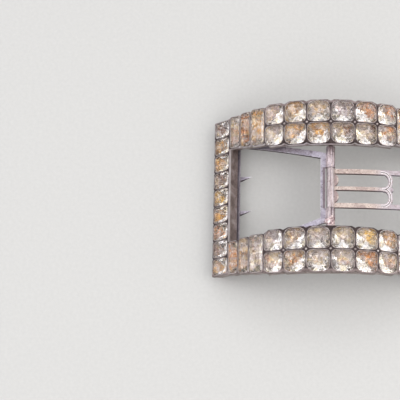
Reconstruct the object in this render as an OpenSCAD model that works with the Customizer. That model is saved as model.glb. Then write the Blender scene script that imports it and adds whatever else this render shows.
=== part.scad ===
// Shoe buckle of the late 18th century: an arched rectangular frame of silver collets set with
// foil-backed paste, and a loop chape and a three-pronged tongue turning on one steel spindle.
// X runs along the arch, Y along the spindle, +Z out of the face. The origin is on the plane
// that the two ends of the frame stand on, under its middle.

/* [Frame] */
// Radius of the arch, to the rim of the collets
bow_r = 58; // [56:0.5:60]
// Depth of the setting, from rim to back
setting_depth = 5; // [5:0.1:5.4]
// Upright band below the rim, above the taper of the sides
rim_band = 1; // [1:0.1:1.4]
// Taper of the outer sides, from the band to the back
outer_taper = 1; // [0.4:0.1:1.1]
// Taper of the sides that face the window
inner_taper = 1.2; // [0.4:0.1:1.3]
// Pitch along the arch of the column of stones at each end
end_pitch = 6.7; // [6:0.1:7.2]
// Half width of the frame at its ends
end_half_w = 27.5; // [27:0.1:28]
// Depth of the notches between the collets at the edges of the frame
notch = 0.35; // [0.2:0.05:0.45]
// Depth of the wider notches between two cushions
cushion_notch = 0.5; // [0.3:0.05:0.6]

/* [Stones] */
// Metal between two neighbouring stones
seam = 0.56; // [0.54:0.02:0.9]
// Play between a stone and its seat
play = 0.06; // [0.05:0.01:0.1]
// Squareness of the cushion outline: 2 would be an ellipse
squareness = 5; // [4:0.1:6]
// Squareness of a cushion's side at the edge of its rail, where its corners are rounder
edge_squareness = 3; // [2.6:0.1:5]
// Depth of the girdle's upper edge below the rim
girdle_drop = 0.12; // [0.05:0.01:0.15]
// Thickness of the girdle
girdle_h = 0.3; // [0.2:0.05:0.3]
// Height of a cushion's crown over its girdle
cushion_crown = 1.3; // [0.9:0.05:1.5]
// Height of a baguette's crown over its girdle
baguette_crown = 1.05; // [0.7:0.05:1.3]
// Depth of a stone's pavilion under its girdle
pavilion = 2.15; // [2:0.05:2.2]
// Number of stones in an end column
end_count = 9; // [8:1:10]

/* [Spindle] */
// Radius of the spindle
spindle_r = 0.75; // [0.65:0.01:0.76]
// Depth of the spindle's axis below the rim
spindle_drop = 3.95; // [3.92:0.01:4]
// Radial clearance of the chape and the tongue on the spindle
running_clearance = 0.05; // [0.02:0.01:0.08]

/* [Chape] */
// Outer radius of the chape's knuckles
knuckle_r = 1.5; // [1.4:0.02:1.6]
// Thickness of the chape's sheet
chape_t = 1.1; // [1:0.05:1.25]
// Radius of the chape's own arch, to its upper face
chape_r = 140; // [136:1:150]
// Width of the arms where they leave the cross bar
arm_w = 2.15; // [1.8:0.05:2.4]
// Width of the arms at the end bar
arm_end_w = 1.6; // [1.3:0.05:2]
// Distance of each spike from the middle between the two
spike_y = 6.1; // [5:0.05:8]
// Shift of both spikes from the middle of the end bar, as soldered by hand
spike_shift = 1.5; // [-2:0.1:2]
// Width of a spike at its foot
spike_w = 1.7; // [1.2:0.05:1.8]

/* [Tongue] */
// Outer radius of the tongue's barrel
barrel_r = 1.36; // [1.2:0.02:1.4]
// Thickness of the prongs
prong_t = 1.2; // [1:0.05:1.25]
// Distance of each outer prong from the middle one
prong_y = 6; // [5.8:0.05:6]
// Width of an outer prong
prong_w = 1.6; // [1.5:0.05:1.8]
// Width of the middle prong
middle_w = 1.25; // [1.2:0.05:1.9]
// Reach of the outer prongs, from the spindle to their points
prong_reach = 34.4; // [34.2:0.05:34.5]

/* [Hidden] */
// One row for each column of the rails, from the middle of the arch to the end column.
// The half widths are those of the window and of the frame at that column.
COLUMNS = [
    // cut, pitch, inner half width, outer half width
    ["cushion", 8.1, 14.4, 30.35],
    ["cushion", 7.7, 14.5, 30.25],
    ["cushion", 6.9, 14.8, 29.9],
    ["baguette", 5.4, 15.8, 29.1],
    ["baguette", 4.05, 16.1, 28.6],
    ["baguette", 4.2, 16.5, 28.1],
];
CUT = 0;
PITCH = 1;
INNER = 2;
OUTER = 3;
LAST = len(COLUMNS) - 1;
CUSHION_COLUMNS = len([for (column = COLUMNS) if (column[CUT] == "cushion") column]);
BAGUETTE_COLUMNS = len(COLUMNS) - CUSHION_COLUMNS;

// The far rail is the one at +Y, and stones are numbered along a rail from -X to +X
RAILS = ["near", "far"];
ROWS = ["inner", "outer"];
ENDS = ["left", "right"];
function cushion_name(rail, row, n) = str("cushion_", rail, "_", row, "_", n);
function baguette_name(rail, n) = str("baguette_", rail, "_", n);
function end_stones_name(end) = str("end_stones_", end);

// Lengths along the arch, and the heights that follow from the end columns standing on z = 0
function column_start(i) = i == 0 ? 0 : column_start(i - 1) + COLUMNS[i - 1][PITCH];
function arch_angle(along) = along / bow_r * 180 / PI;
rail_end = column_start(len(COLUMNS));
back_r = bow_r - setting_depth;
axis_z = -back_r * cos(arch_angle(rail_end + end_pitch));
spindle_z = axis_z + bow_r - spindle_drop;
over = 1;

// The sign of a named side, and the column and the side of a stone numbered along a rail
function side(name) = name == "near" || name == "left" ? -1 : 1;
function from_middle(n, count) = n > count ? n - count - 1 : count - n;
function way_along(n, count) = n > count ? 1 : -1;

// Stands its children on the flat of one column, with x along the arch and z out of the rim
module on_column(start, pitch, way) {
    half = arch_angle(pitch) / 2;
    translate([0, 0, axis_z])
        rotate([0, way * (arch_angle(start) + half), 0])
            translate([0, 0, bow_r * cos(half)])
                children();
}

// Stands its children on the seam at one place along the arch
module on_seam(place) {
    translate([0, 0, axis_z])
        rotate([0, arch_angle(place), 0])
            translate([0, 0, bow_r])
                children();
}

// Extrude an outline drawn in XZ along Y, and one drawn in YZ along X, both ways from the middle
module along_y(length) {
    rotate([90, 0, 0]) linear_extrude(length, center = true) children();
}

module along_x(length) {
    rotate([90, 0, 90]) linear_extrude(length, center = true) children();
}

// The arch as one block, with a corner at every seam and a flat between two seams
seam_angles = concat(
    [for (i = [0 : len(COLUMNS)]) arch_angle(column_start(i))],
    [arch_angle(rail_end + end_pitch)]
);
arch_corners = concat(
    [for (k = [len(seam_angles) - 1 : -1 : 1]) -seam_angles[k]],
    seam_angles
);
widest = COLUMNS[0][OUTER] + over;

function arch_line(r, angles) = [for (a = angles) r * [sin(a), cos(a)]];
function reversed(list) = [for (k = [len(list) - 1 : -1 : 0]) list[k]];

module arch_block() {
    translate([0, 0, axis_z])
        along_y(2 * widest)
            polygon(concat(arch_line(bow_r, arch_corners), arch_line(back_r, reversed(arch_corners))));
}

// Profiles in YZ of what is cut away outside a rail, and inside the window between the rails.
// Under the rim's upright band both sides taper in towards the back.
low_z = -setting_depth - over;
below_band = (rim_band + low_z) / (rim_band - setting_depth);

module outside_profile(half_w) {
    for (rail = RAILS)
        scale([side(rail), 1])
            polygon([
                [half_w, over], [half_w, -rim_band], [half_w - outer_taper * below_band, low_z],
                [widest + over, low_z], [widest + over, over]
            ]);
}

module window_profile(half_w) {
    low_w = half_w + inner_taper * below_band;
    polygon([
        [half_w, over], [half_w, -rim_band], [low_w, low_z],
        [-low_w, low_z], [-half_w, -rim_band], [-half_w, over]
    ]);
}

// Cuts along one column, which may run a lap past its outer seam into a column that is cut deeper
lap = 0.3;

module column_cut(start, pitch, way, past) {
    half = bow_r * sin(arch_angle(pitch) / 2);
    on_column(start, pitch, way)
        scale([way, 1, 1])
            translate([past / 2, 0, 0])
                along_x(2 * half + past)
                    children();
}

// The two middle columns share one pair of walls
module middle_cut() {
    first = arch_angle(column_start(1));
    translate([0, 0, axis_z + bow_r * (1 + cos(first)) / 2])
        along_x(2 * (bow_r * sin(first) + lap))
            children();
}

module width_cuts() {
    middle_cut() outside_profile(COLUMNS[0][OUTER]);
    middle_cut() window_profile(COLUMNS[0][INNER]);
    for (way = [-1, 1]) {
        for (i = [1 : LAST]) {
            column_cut(column_start(i), COLUMNS[i][PITCH], way, lap) outside_profile(COLUMNS[i][OUTER]);
            column_cut(column_start(i), COLUMNS[i][PITCH], way, i == LAST ? 0 : lap)
                window_profile(COLUMNS[i][INNER]);
        }
        column_cut(rail_end, end_pitch, way, lap) outside_profile(end_half_w);
    }
}

// A V-shaped notch down the side of the setting, where two collets meet
notch_spread = 1.3;
cushion_notch_spread = 2;

module edge_notch(tip, mouth, spread = notch_spread) {
    half = abs(mouth - tip) * spread;
    translate([0, 0, -setting_depth - over])
        linear_extrude(setting_depth + 2 * over)
            polygon([[0, tip], [half, mouth], [-half, mouth]]);
}

module rail_notches() {
    for (rail = RAILS) scale([1, side(rail), 1]) {
        edge_outer = COLUMNS[0][OUTER];
        on_seam(0) edge_notch(edge_outer - cushion_notch, edge_outer + over, cushion_notch_spread);
        for (i = [0 : LAST], way = [-1, 1])
            on_seam(way * column_start(i + 1)) column_notches(COLUMNS[i], COLUMNS[min(i + 1, LAST)]);
    }
}

module column_notches(here, next) {
    cushions = here[CUT] == "cushion" && next[CUT] == "cushion";
    deep = cushions ? cushion_notch : notch;
    spread = cushions ? cushion_notch_spread : notch_spread;
    edge_notch(next[OUTER] - deep, here[OUTER] + over, spread);
    if (here != next) edge_notch(next[INNER] + deep, here[INNER] - over, spread);
}

module end_notches(way) {
    half = bow_r * sin(arch_angle(end_pitch) / 2);
    on_column(rail_end, end_pitch, way)
        for (k = [1 : end_count - 1])
            translate([0, end_seam_y(k), 0])
                rotate([0, 0, -way * 90])
                    edge_notch(half - notch, half + over);
}

// Outlines of the stones, which their seats follow. A cushion's edge is the side where its corners
// are rounder: 1 for +Y, -1 for -Y and 0 for neither.
function power(v, e) = sign(v) * pow(abs(v), e);
function cushion_outline(w, h, edge, count = 16, turn = 0) = [
    for (k = [0 : count - 1])
        let (a = turn + k * 360 / count, e = 2 / (edge * sin(a) > 0 ? edge_squareness : squareness))
            [w / 2 * power(cos(a), e), h / 2 * power(sin(a), e)]
];
function baguette_outline(w, h, corner) = [
    [w / 2, -h / 2 + corner], [w / 2, h / 2 - corner],
    [w / 2 - corner, h / 2], [-w / 2 + corner, h / 2],
    [-w / 2, h / 2 - corner], [-w / 2, -h / 2 + corner],
    [-w / 2 + corner, -h / 2], [w / 2 - corner, -h / 2]
];
baguette_corner = 0.6;

// A seat holds a stone's girdle, and the narrower well below it takes the pavilion
seat_depth = 1;
well_depth = 2.85;
cushion_well = 0.8;
baguette_well = [0.4, 0.7];

module sunk(depth) {
    translate([0, 0, -depth]) linear_extrude(depth + over) children();
}

module cushion_pocket(w, h, edge) {
    sunk(seat_depth) polygon(cushion_outline(w + 2 * play, h + 2 * play, edge));
    sunk(well_depth) polygon(cushion_outline(w * cushion_well, h * cushion_well, edge));
}

module baguette_pocket(w, h) {
    sunk(seat_depth) polygon(baguette_outline(w + 2 * play, h + 2 * play, baguette_corner));
    sunk(well_depth)
        polygon(baguette_outline(w - 2 * baguette_well.x, h - 2 * baguette_well.y, baguette_corner / 2));
}

// Sizes of the stones, and their places across the frame
function row_pitch(i) = (COLUMNS[i][OUTER] - COLUMNS[i][INNER]) / 2;
function cushion_y(i, row) = COLUMNS[i][INNER] + row_pitch(i) * (row == "inner" ? 0.5 : 1.5);
function cushion_size(i) = [COLUMNS[i][PITCH] - seam, row_pitch(i) - seam];
function cushion_edge(rail, row) = side(rail) * (row == "outer" ? 1 : -1);
function baguette_size(i) = [COLUMNS[i][PITCH] - seam, 2 * row_pitch(i) - seam];
end_row_pitch = 2 * end_half_w / end_count;
end_stone_size = [end_pitch - seam, end_row_pitch - seam];
function end_seam_y(k) = k * end_row_pitch - end_half_w;

module at_cushion(rail, row, n) {
    i = from_middle(n, CUSHION_COLUMNS);
    on_column(column_start(i), COLUMNS[i][PITCH], way_along(n, CUSHION_COLUMNS))
        translate([0, side(rail) * cushion_y(i, row), 0])
            children();
}

module at_baguette(rail, n) {
    i = CUSHION_COLUMNS + from_middle(n, BAGUETTE_COLUMNS);
    on_column(column_start(i), COLUMNS[i][PITCH], way_along(n, BAGUETTE_COLUMNS))
        translate([0, side(rail) * (COLUMNS[i][INNER] + row_pitch(i)), 0])
            children();
}

module at_end_stone(end, k) {
    on_column(rail_end, end_pitch, side(end))
        translate([0, end_seam_y(k - 0.5), 0])
            children();
}

module all_pockets() {
    for (rail = RAILS, row = ROWS, n = [1 : 2 * CUSHION_COLUMNS]) {
        size = cushion_size(from_middle(n, CUSHION_COLUMNS));
        at_cushion(rail, row, n) cushion_pocket(size.x, size.y, cushion_edge(rail, row));
    }
    for (rail = RAILS, n = [1 : 2 * BAGUETTE_COLUMNS]) {
        size = baguette_size(CUSHION_COLUMNS + from_middle(n, BAGUETTE_COLUMNS));
        at_baguette(rail, n) baguette_pocket(size.x, size.y);
    }
    for (end = ENDS, k = [1 : end_count])
        at_end_stone(end, k) cushion_pocket(end_stone_size.x, end_stone_size.y, 0);
}

// A round pin or bore along the spindle's axis, from y1 to y2
ROUND = 64;

module axial(r, y1, y2) {
    translate([0, y1, spindle_z]) rotate([-90, 0, 0]) cylinder(r = r, h = y2 - y1, $fn = ROUND);
}

spindle_half = 19;
socket_half = 19.3;
socket_r = spindle_r + 0.02;

module setting() {
    color("silver") difference() {
        arch_block();
        width_cuts();
        all_pockets();
        rail_notches();
        for (way = [-1, 1]) end_notches(way);
        axial(socket_r, -socket_half, socket_half);
    }
}

module spindle() {
    color("lightslategray") axial(spindle_r, -spindle_half, spindle_half);
}

// Hand cutting: a number from -1 to 1 that differs from stone to stone
function uneven(stone, trait) = sin(stone * 137.5 + trait * 73);

// One ring of a stone's corners, at a share of its size
function cushion_ring(size, edge, share, z, count, turn, shift) = [
    for (p = cushion_outline(size.x * share, size.y * share, edge, count, turn))
        [p.x + shift.x, p.y + shift.y, z]
];

// Height of the corners between two main facets, so that the main facets come out flat
middle_reach = 0.958;
function facet_height(depth, flat_share, tip_share) =
    depth * (1 - middle_reach * tip_share) / (1 - flat_share);

// A cushion-cut stone: table, stars, mains and halves above the girdle, the same below to a culet
table_share = 0.54;
table_tip_share = 0.78;
culet_share = 0.1;
culet_tip_share = 0.36;

module cushion_stone(size, edge, crown_h, stone) {
    table = table_share + 0.05 * uneven(stone, 1);
    tip = table_tip_share + 0.02 * uneven(stone, 2);
    crown = crown_h * (1 + 0.08 * uneven(stone, 3));
    shift = [0.03 * size.x * uneven(stone, 4), 0.03 * size.y * uneven(stone, 5)];
    top = -girdle_drop;
    low = top - girdle_h;
    points = concat(
        cushion_ring(size, edge, table, top + crown, 8, 0, shift),
        cushion_ring(size, edge, tip, top + facet_height(crown, table, tip), 8, 22.5, shift / 2),
        cushion_ring(size, edge, 1, top, 16, 0, [0, 0]),
        cushion_ring(size, edge, 1, low, 16, 0, [0, 0]),
        cushion_ring(size, edge, culet_tip_share,
            low - facet_height(pavilion, culet_share, culet_tip_share), 8, 22.5, [0, 0]),
        cushion_ring(size, edge, culet_share, low - pavilion, 8, 0, [0, 0])
    );
    polyhedron(points, cushion_faces());
}

// Corners are numbered ring by ring: table, upper tips, girdle, lower girdle, lower tips, culet
function cushion_faces() =
    let (table = 0, upper = 8, girdle = 16, under = 32, lower = 48, culet = 56)
    concat(
        [[for (k = [7 : -1 : 0]) table + k], [for (k = [0 : 7]) culet + k]],
        [for (k = [0 : 7])
            let (next = (k + 1) % 8, back = (k + 7) % 8, g = 2 * k, g1 = g + 1, g2 = (g + 2) % 16)
            each [
                [table + k, table + next, upper + k],
                [table + k, upper + k, girdle + g],
                [table + k, girdle + g, upper + back],
                [upper + k, girdle + g1, girdle + g],
                [upper + k, girdle + g2, girdle + g1],
                [girdle + g, girdle + g1, under + g1, under + g],
                [girdle + g1, girdle + g2, under + g2, under + g1],
                [under + g, under + g1, lower + k],
                [under + g1, under + g2, lower + k],
                [under + g, lower + k, culet + k],
                [under + g, culet + k, lower + back],
                [lower + k, culet + next, culet + k]
            ]
        ]
    );

// A step-cut baguette: two steps above the girdle and two below, down to a keel.
// One row for each ring of corners: the inset along each side of the stone, and the height.
function baguette_steps(size, crown) =
    let (top = -girdle_drop, low = top - girdle_h)
    [
        // inset in x, inset in y, corner, z
        [0.26 * size.x, 0.34 * size.x, 0.3, top + crown],
        [0.12 * size.x, 0.13 * size.x, 0.45, top + 0.62 * crown],
        [0, 0, baguette_corner, top],
        [0, 0, baguette_corner, low],
        [0.2 * size.x, 1.1, 0.3, low - 0.4 * baguette_pavilion],
        [0.46 * size.x, 2.8, 0.05, low - baguette_pavilion]
    ];
baguette_pavilion = 1.95;

module baguette_stone(size, crown_h, stone) {
    crown = crown_h * (1 + 0.08 * uneven(stone, 3));
    points = [
        for (step = baguette_steps(size, crown))
            for (p = baguette_outline(size.x - 2 * step[0], size.y - 2 * step[1], step[2]))
                [p.x, p.y, step[3]]
    ];
    rings = len(points) / 8;
    faces = concat(
        [[for (k = [7 : -1 : 0]) k], [for (k = [0 : 7]) 8 * (rings - 1) + k]],
        [for (ring = [0 : rings - 2], k = [0 : 7])
            let (next = (k + 1) % 8, a = 8 * ring, b = a + 8) [a + k, a + next, b + next, b + k]]
    );
    polyhedron(points, faces);
}

// Numbers that tell the stones apart when they are cut
function cushion_number(rail, row, n) = n + (row == "outer" ? 6 : 0) + (rail == "far" ? 12 : 0);
function baguette_number(rail, n) = 30 + n + (rail == "far" ? 6 : 0);
function end_number(end, k) = 50 + k + (end == "right" ? end_count : 0);
end_crown_share = 0.85;

module cushion(rail, row, n) {
    color("ivory")
        at_cushion(rail, row, n)
            cushion_stone(cushion_size(from_middle(n, CUSHION_COLUMNS)), cushion_edge(rail, row),
                cushion_crown, cushion_number(rail, row, n));
}

module baguette(rail, n) {
    color("wheat")
        at_baguette(rail, n)
            baguette_stone(baguette_size(CUSHION_COLUMNS + from_middle(n, BAGUETTE_COLUMNS)),
                baguette_crown, baguette_number(rail, n));
}

module end_stones(end) {
    color("ivory")
        for (k = [1 : end_count])
            at_end_stone(end, k)
                cushion_stone(end_stone_size, 0, end_crown_share * cushion_crown, end_number(end, k));
}

// The chape, which points to -X: knuckles, cross bar, arms, end bar and spikes.
// Its sheet is level at the cross bar and then arches down along a radius of its own, so that its
// end bar lies under the end column.
knuckle_start = 7.15;
knuckle_end = 14.55;
bar_x = -1.8;
bar_front_x = -0.4;
bar_back_x = -3.35;
bar_half = 12.3;
chape_slope = 17.8;
chape_rise = 0.6;
arm_y = 10.6;
arm_end_y = 18.85;
end_bar_x = -30.3;
end_bar_back_x = -32.7;
end_bar_chamfer = 0.8;
chape_steps = 24;
chape_xs = concat([bar_front_x], [for (k = [0 : chape_steps])
    bar_back_x + k * (end_bar_back_x - bar_back_x) / chape_steps]);

function chape_fall(x) = x > bar_back_x
    ? 0
    : chape_r * cos(chape_slope) - sqrt(chape_r ^ 2 - (bar_back_x - x + chape_r * sin(chape_slope)) ^ 2);

module chape_sheet() {
    translate([0, 0, spindle_z + chape_rise])
        along_y(2 * end_half_w)
            polygon(concat(
                [for (x = chape_xs) [x, -chape_fall(x)]],
                [for (x = reversed(chape_xs)) [x, -chape_fall(x) - chape_t]]
            ));
}

module chape_plan() {
    outer = arm_end_y + arm_end_w;
    translate([0, 0, -over])
        linear_extrude(bow_r)
            difference() {
                polygon([
                    [bar_front_x, bar_half], [bar_x, bar_half],
                    [bar_back_x, arm_y + arm_w], [end_bar_x, outer],
                    [end_bar_back_x + end_bar_chamfer, outer], [end_bar_back_x, outer - end_bar_chamfer],
                    [end_bar_back_x, end_bar_chamfer - outer], [end_bar_back_x + end_bar_chamfer, -outer],
                    [end_bar_x, -outer], [bar_back_x, -arm_y - arm_w],
                    [bar_x, -bar_half], [bar_front_x, -bar_half]
                ]);
                polygon([
                    [bar_back_x, arm_y], [end_bar_x, arm_end_y],
                    [end_bar_x, -arm_end_y], [bar_back_x, -arm_y]
                ]);
                translate([bar_x, -knuckle_start]) square([over - bar_x, 2 * knuckle_start]);
            }
}

// A spike: a pyramid from its foot in the end bar to its point
spike_foot = [-31.1, 2.2];
spike_tip = [-26.1, 5.35];
spike_t = 1.5;

module spike() {
    reach = norm(spike_tip - spike_foot);
    rise = atan2(spike_tip.y - spike_foot.y, spike_tip.x - spike_foot.x);
    translate([spike_foot.x, 0, spike_foot.y])
        rotate([0, -rise, 0])
            intersection() {
                along_y(2 * spike_w) polygon([[0, -spike_t / 2], [reach, 0], [0, spike_t / 2]]);
                translate([0, 0, -spike_t])
                    linear_extrude(2 * spike_t) polygon([[0, -spike_w / 2], [reach, 0], [0, spike_w / 2]]);
            }
}

module chape() {
    color("slategray") difference() {
        union() {
            intersection() {
                chape_sheet();
                chape_plan();
            }
            for (way = [-1, 1]) {
                scale([1, way, 1]) axial(knuckle_r, knuckle_start, knuckle_end);
                translate([0, spike_shift + way * spike_y, 0]) spike();
            }
        }
        axial(spindle_r + running_clearance, -socket_half, socket_half);
    }
}

// The tongue, which points to +X: barrel, three prongs, and the scrolled piece that ties them.
// The prongs leave from the barrel's side, run nearly level, and bow down to the end column.
barrel_half = 7;
prong_rise = 0.3;
prong_start = 0.1;
root_x = 1.3;
level_r = 150;
bend_x = 21;
bend_r = 31.5;
point_t = 0.55;
point_w = 0.5;
point_start = 28.5;
bend_slope = asin(bend_x / level_r);

function prong_fall(x) = x < bend_x
    ? level_r - sqrt(level_r ^ 2 - x ^ 2)
    : prong_fall(bend_x - 0.001) + bend_r * cos(bend_slope)
        - sqrt(bend_r ^ 2 - (x - bend_x + bend_r * sin(bend_slope)) ^ 2);
function prong_thickness(x) = x < point_start
    ? prong_t
    : prong_t + (point_t - prong_t) * (x - point_start) / (prong_reach - point_start);
prong_steps = 24;
prong_xs = [for (k = [0 : prong_steps]) prong_start + k * (prong_reach - prong_start) / prong_steps];

module prong_sheet() {
    translate([0, 0, spindle_z + prong_rise])
        along_y(4 * barrel_half)
            polygon(concat(
                [for (x = prong_xs) [x, -prong_fall(x)]],
                [for (x = reversed(prong_xs)) [x, -prong_fall(x) - prong_thickness(x)]]
            ));
}

// Lobes at the roots of the prongs, and the arches that tie the prongs together
gap_y = prong_y / 2 - 0.1;
lobe_r = 2.44;
lobe_x = 0.2;
arch_x = 17.5;
arch_inner = [1.65, 2.27];
arch_outer = [3.15, 3.75];
arch_step = 6;
knob_x = 20.2;
knob_r = 0.65;
tine_start = 18;
tine_x = 19.5;
tine_w = 1.5;

module outer_prong_plan() {
    translate([0, prong_y])
        polygon([
            [prong_start, prong_w / 2], [tine_start, prong_w / 2], [tine_x, tine_w / 2],
            [point_start, tine_w / 2], [prong_reach, point_w / 2], [prong_reach, -point_w / 2],
            [point_start, -tine_w / 2], [tine_x, -tine_w / 2], [tine_start, -prong_w / 2],
            [prong_start, -prong_w / 2]
        ]);
}

// Half an ellipse with the given half axes, from one end of its upright axis to the other
function half_ellipse(axes) = [for (a = [-90 : arch_step : 90]) [axes.x * cos(a), axes.y * sin(a)]];

module arch_plan() {
    translate([arch_x, gap_y])
        polygon(concat(half_ellipse(arch_outer), reversed(half_ellipse(arch_inner))));
}

module tongue_plan() {
    translate([0, 0, -over])
        linear_extrude(bow_r) {
            translate([prong_start, -barrel_half]) square([root_x - prong_start, 2 * barrel_half]);
            translate([prong_start, -middle_w / 2]) square([knob_x - prong_start, middle_w]);
            translate([knob_x, 0]) circle(r = knob_r, $fn = ROUND);
            for (way = [-1, 1]) scale([1, way]) {
                outer_prong_plan();
                arch_plan();
                intersection() {
                    translate([lobe_x, gap_y]) circle(r = lobe_r, $fn = ROUND);
                    translate([prong_start, 0]) square([2 * lobe_r, prong_y]);
                }
            }
        }
}

module tongue() {
    color("rosybrown") difference() {
        union() {
            intersection() {
                prong_sheet();
                tongue_plan();
            }
            axial(barrel_r, -barrel_half, barrel_half);
        }
        axial(spindle_r + running_clearance, -socket_half, socket_half);
    }
}

setting();
spindle();
chape();
tongue();
for (rail = RAILS, row = ROWS, n = [1 : 2 * CUSHION_COLUMNS])
    cushion(rail, row, n);
for (rail = RAILS, n = [1 : 2 * BAGUETTE_COLUMNS])
    baguette(rail, n);
for (end = ENDS)
    end_stones(end);
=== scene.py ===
import math

import bmesh
import bpy
from mathutils import Matrix, Vector


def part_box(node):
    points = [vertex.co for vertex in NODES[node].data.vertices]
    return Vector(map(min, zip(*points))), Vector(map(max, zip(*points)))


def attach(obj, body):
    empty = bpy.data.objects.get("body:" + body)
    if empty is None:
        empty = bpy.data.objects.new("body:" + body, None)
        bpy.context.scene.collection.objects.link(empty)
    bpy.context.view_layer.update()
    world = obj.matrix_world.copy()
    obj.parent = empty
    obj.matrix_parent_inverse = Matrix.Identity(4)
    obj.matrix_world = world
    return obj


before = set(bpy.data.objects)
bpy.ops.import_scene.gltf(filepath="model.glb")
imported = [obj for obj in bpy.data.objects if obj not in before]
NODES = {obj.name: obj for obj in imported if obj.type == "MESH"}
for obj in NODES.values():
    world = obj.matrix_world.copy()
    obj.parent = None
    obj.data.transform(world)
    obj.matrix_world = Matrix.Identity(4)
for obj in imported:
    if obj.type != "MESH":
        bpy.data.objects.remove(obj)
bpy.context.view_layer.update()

MM = 0.001

# The photograph's view, found from the buckle's corners, rails, spikes and barrel
PHOTO_SIDE_PX = 400
SENSOR_MM = 36.0
CAM_ELEVATION = math.radians(69.64)
CAM_AZIMUTH = math.radians(-7.99)
CAM_ROLL = math.radians(-7.21)
CAM_DISTANCE = 718 * MM
CAM_CLIP = (10 * MM, 20.0)
PX_PER_MM = 3.019
TARGET = Vector((0, 0, 15 * MM))
TARGET_PX = (330.6, 188.3)

# The bow: its rim is a cylinder about an axis along Y
BOW_R = 58 * MM
RIM_Z = 18.94 * MM
AXIS_Z = RIM_Z - BOW_R
SPINDLE_Z = RIM_Z - 3.95 * MM

# Half the width over the rails, and how fast they draw in away from the middle of the bow
RAIL_HALF_W = 30.35 * MM
RAIL_DRAW = 2.2

# How the sheets of the chape and the tongue tilt towards +X: the sine of the tilt at their left ends,
# and from where to where along X, in millimetres, it grows by how much
SHEETS = {
    "chape_metal": (-0.515, ((-3.4, -3.3, 0.306), (-32.7, -3.35, 0.209))),
    "tongue_metal": (0.0, ((0.0, 21.0, 0.14), (21.0, 34.4, 0.425))),
}

# The corroded place on a knuckle, how far its crust reaches, and how ragged the crust's edge is
CORRODED = (0.1 * MM, -12.0 * MM, SPINDLE_Z + 1.4 * MM)
CRUST_REACH = 2.3 * MM
CRUST_RAGGED = 2 * CRUST_REACH

# The tongue's two arches: half ellipses that open towards the barrel
ARCH_X = 17.5 * MM
ARCH_Y = 2.9 * MM
ARCH_HALF = (2.4 * MM, 3.0 * MM)

# Worn metal: how much duller its dull patches are, its relief's depth and strength, the scratches' share
# of the relief, and how near another surface makes a crevice that is darkened with painted shade and tarnish
DULLING = 0.2
METAL_RELIEF = 0.05 * MM
METAL_RELIEF_STRENGTH = 0.5
SCRATCHES = 0.5
CREVICE_REACH = 0.5 * MM

# Glass: the size of its patches of tint, the size and slope of its folds, the height of its ripple, and
# the width and strength of the darkening along its facet edges
GLASS_PATCH = 1.2 * MM
GLASS_FOLDS = (1.3 * MM, 0.05)
GLASS_RIPPLE = 0.04 * MM
FACET_EDGE_W = 0.24 * MM
FACET_EDGE_DARKENING = 0.65

# Foil: the size of its patches, the size and slope of its folds, and the height of its dents, with how
# many times that height the finer and the wider ones reach
FOIL_PATCH = 1.1 * MM
FOIL_FOLDS = (1.1 * MM, 0.5)
FOIL_DENT = 0.05 * MM
FOIL_CRUMPLE = 2.0
FOIL_BUCKLES = 6.0

# A foil cup: its gap from the glass, its thickness, and how far stains spread past their own reach
FOIL_GAP = 0.02 * MM
FOIL_THICKNESS = 0.012 * MM
STAIN_SPREAD = 1.25

# A burnished lip's section, and its place beside and above the girdle
LIP_SIDES = 6
LIP_HALF_W = 0.08 * MM
LIP_HALF_H = 0.07 * MM
LIP_OUT = 0.10 * MM
LIP_UP = 0.14 * MM

# Each rail has this many cushions in a row
CUSHIONS_IN_ROW = 6

# A solder grain: its radius, and its rings, each as shares of the radius outwards and upwards
GRAIN_R = 0.38 * MM
GRAIN_SIDES = 10
GRAIN_RINGS = ((1.0, -0.4), (1.0, 0.15), (0.7, 0.65))

# Corners closer than this are joined, and a face of a stone that turns out of the bow by more than this
# cosine belongs to its crown
WELD = 0.001 * MM
CROWN_FACING = 0.3

# How far wear has rounded the edges of each solid that turn by more than an angle
BEVELS = {"setting": 0.10 * MM, "chape": 0.34 * MM, "tongue": 0.26 * MM}
BEVEL_ANGLE = math.radians(40)
BEVEL_SEGMENTS = 2

PALETTE = {
    "white": (1.0, 0.965, 0.95),
    "silver": (0.98, 0.92, 0.94),
    "grey": (0.60, 0.55, 0.57),
    "lilac": (0.92, 0.83, 0.95),
    "cream": (1.0, 0.87, 0.58),
    "beige": (0.95, 0.77, 0.52),
    "pink": (0.97, 0.70, 0.60),
    "yellow": (1.0, 0.68, 0.14),
    "amber": (1.0, 0.56, 0.10),
    "orange": (0.90, 0.38, 0.08),
    "brown": (0.26, 0.11, 0.05),
}

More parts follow.
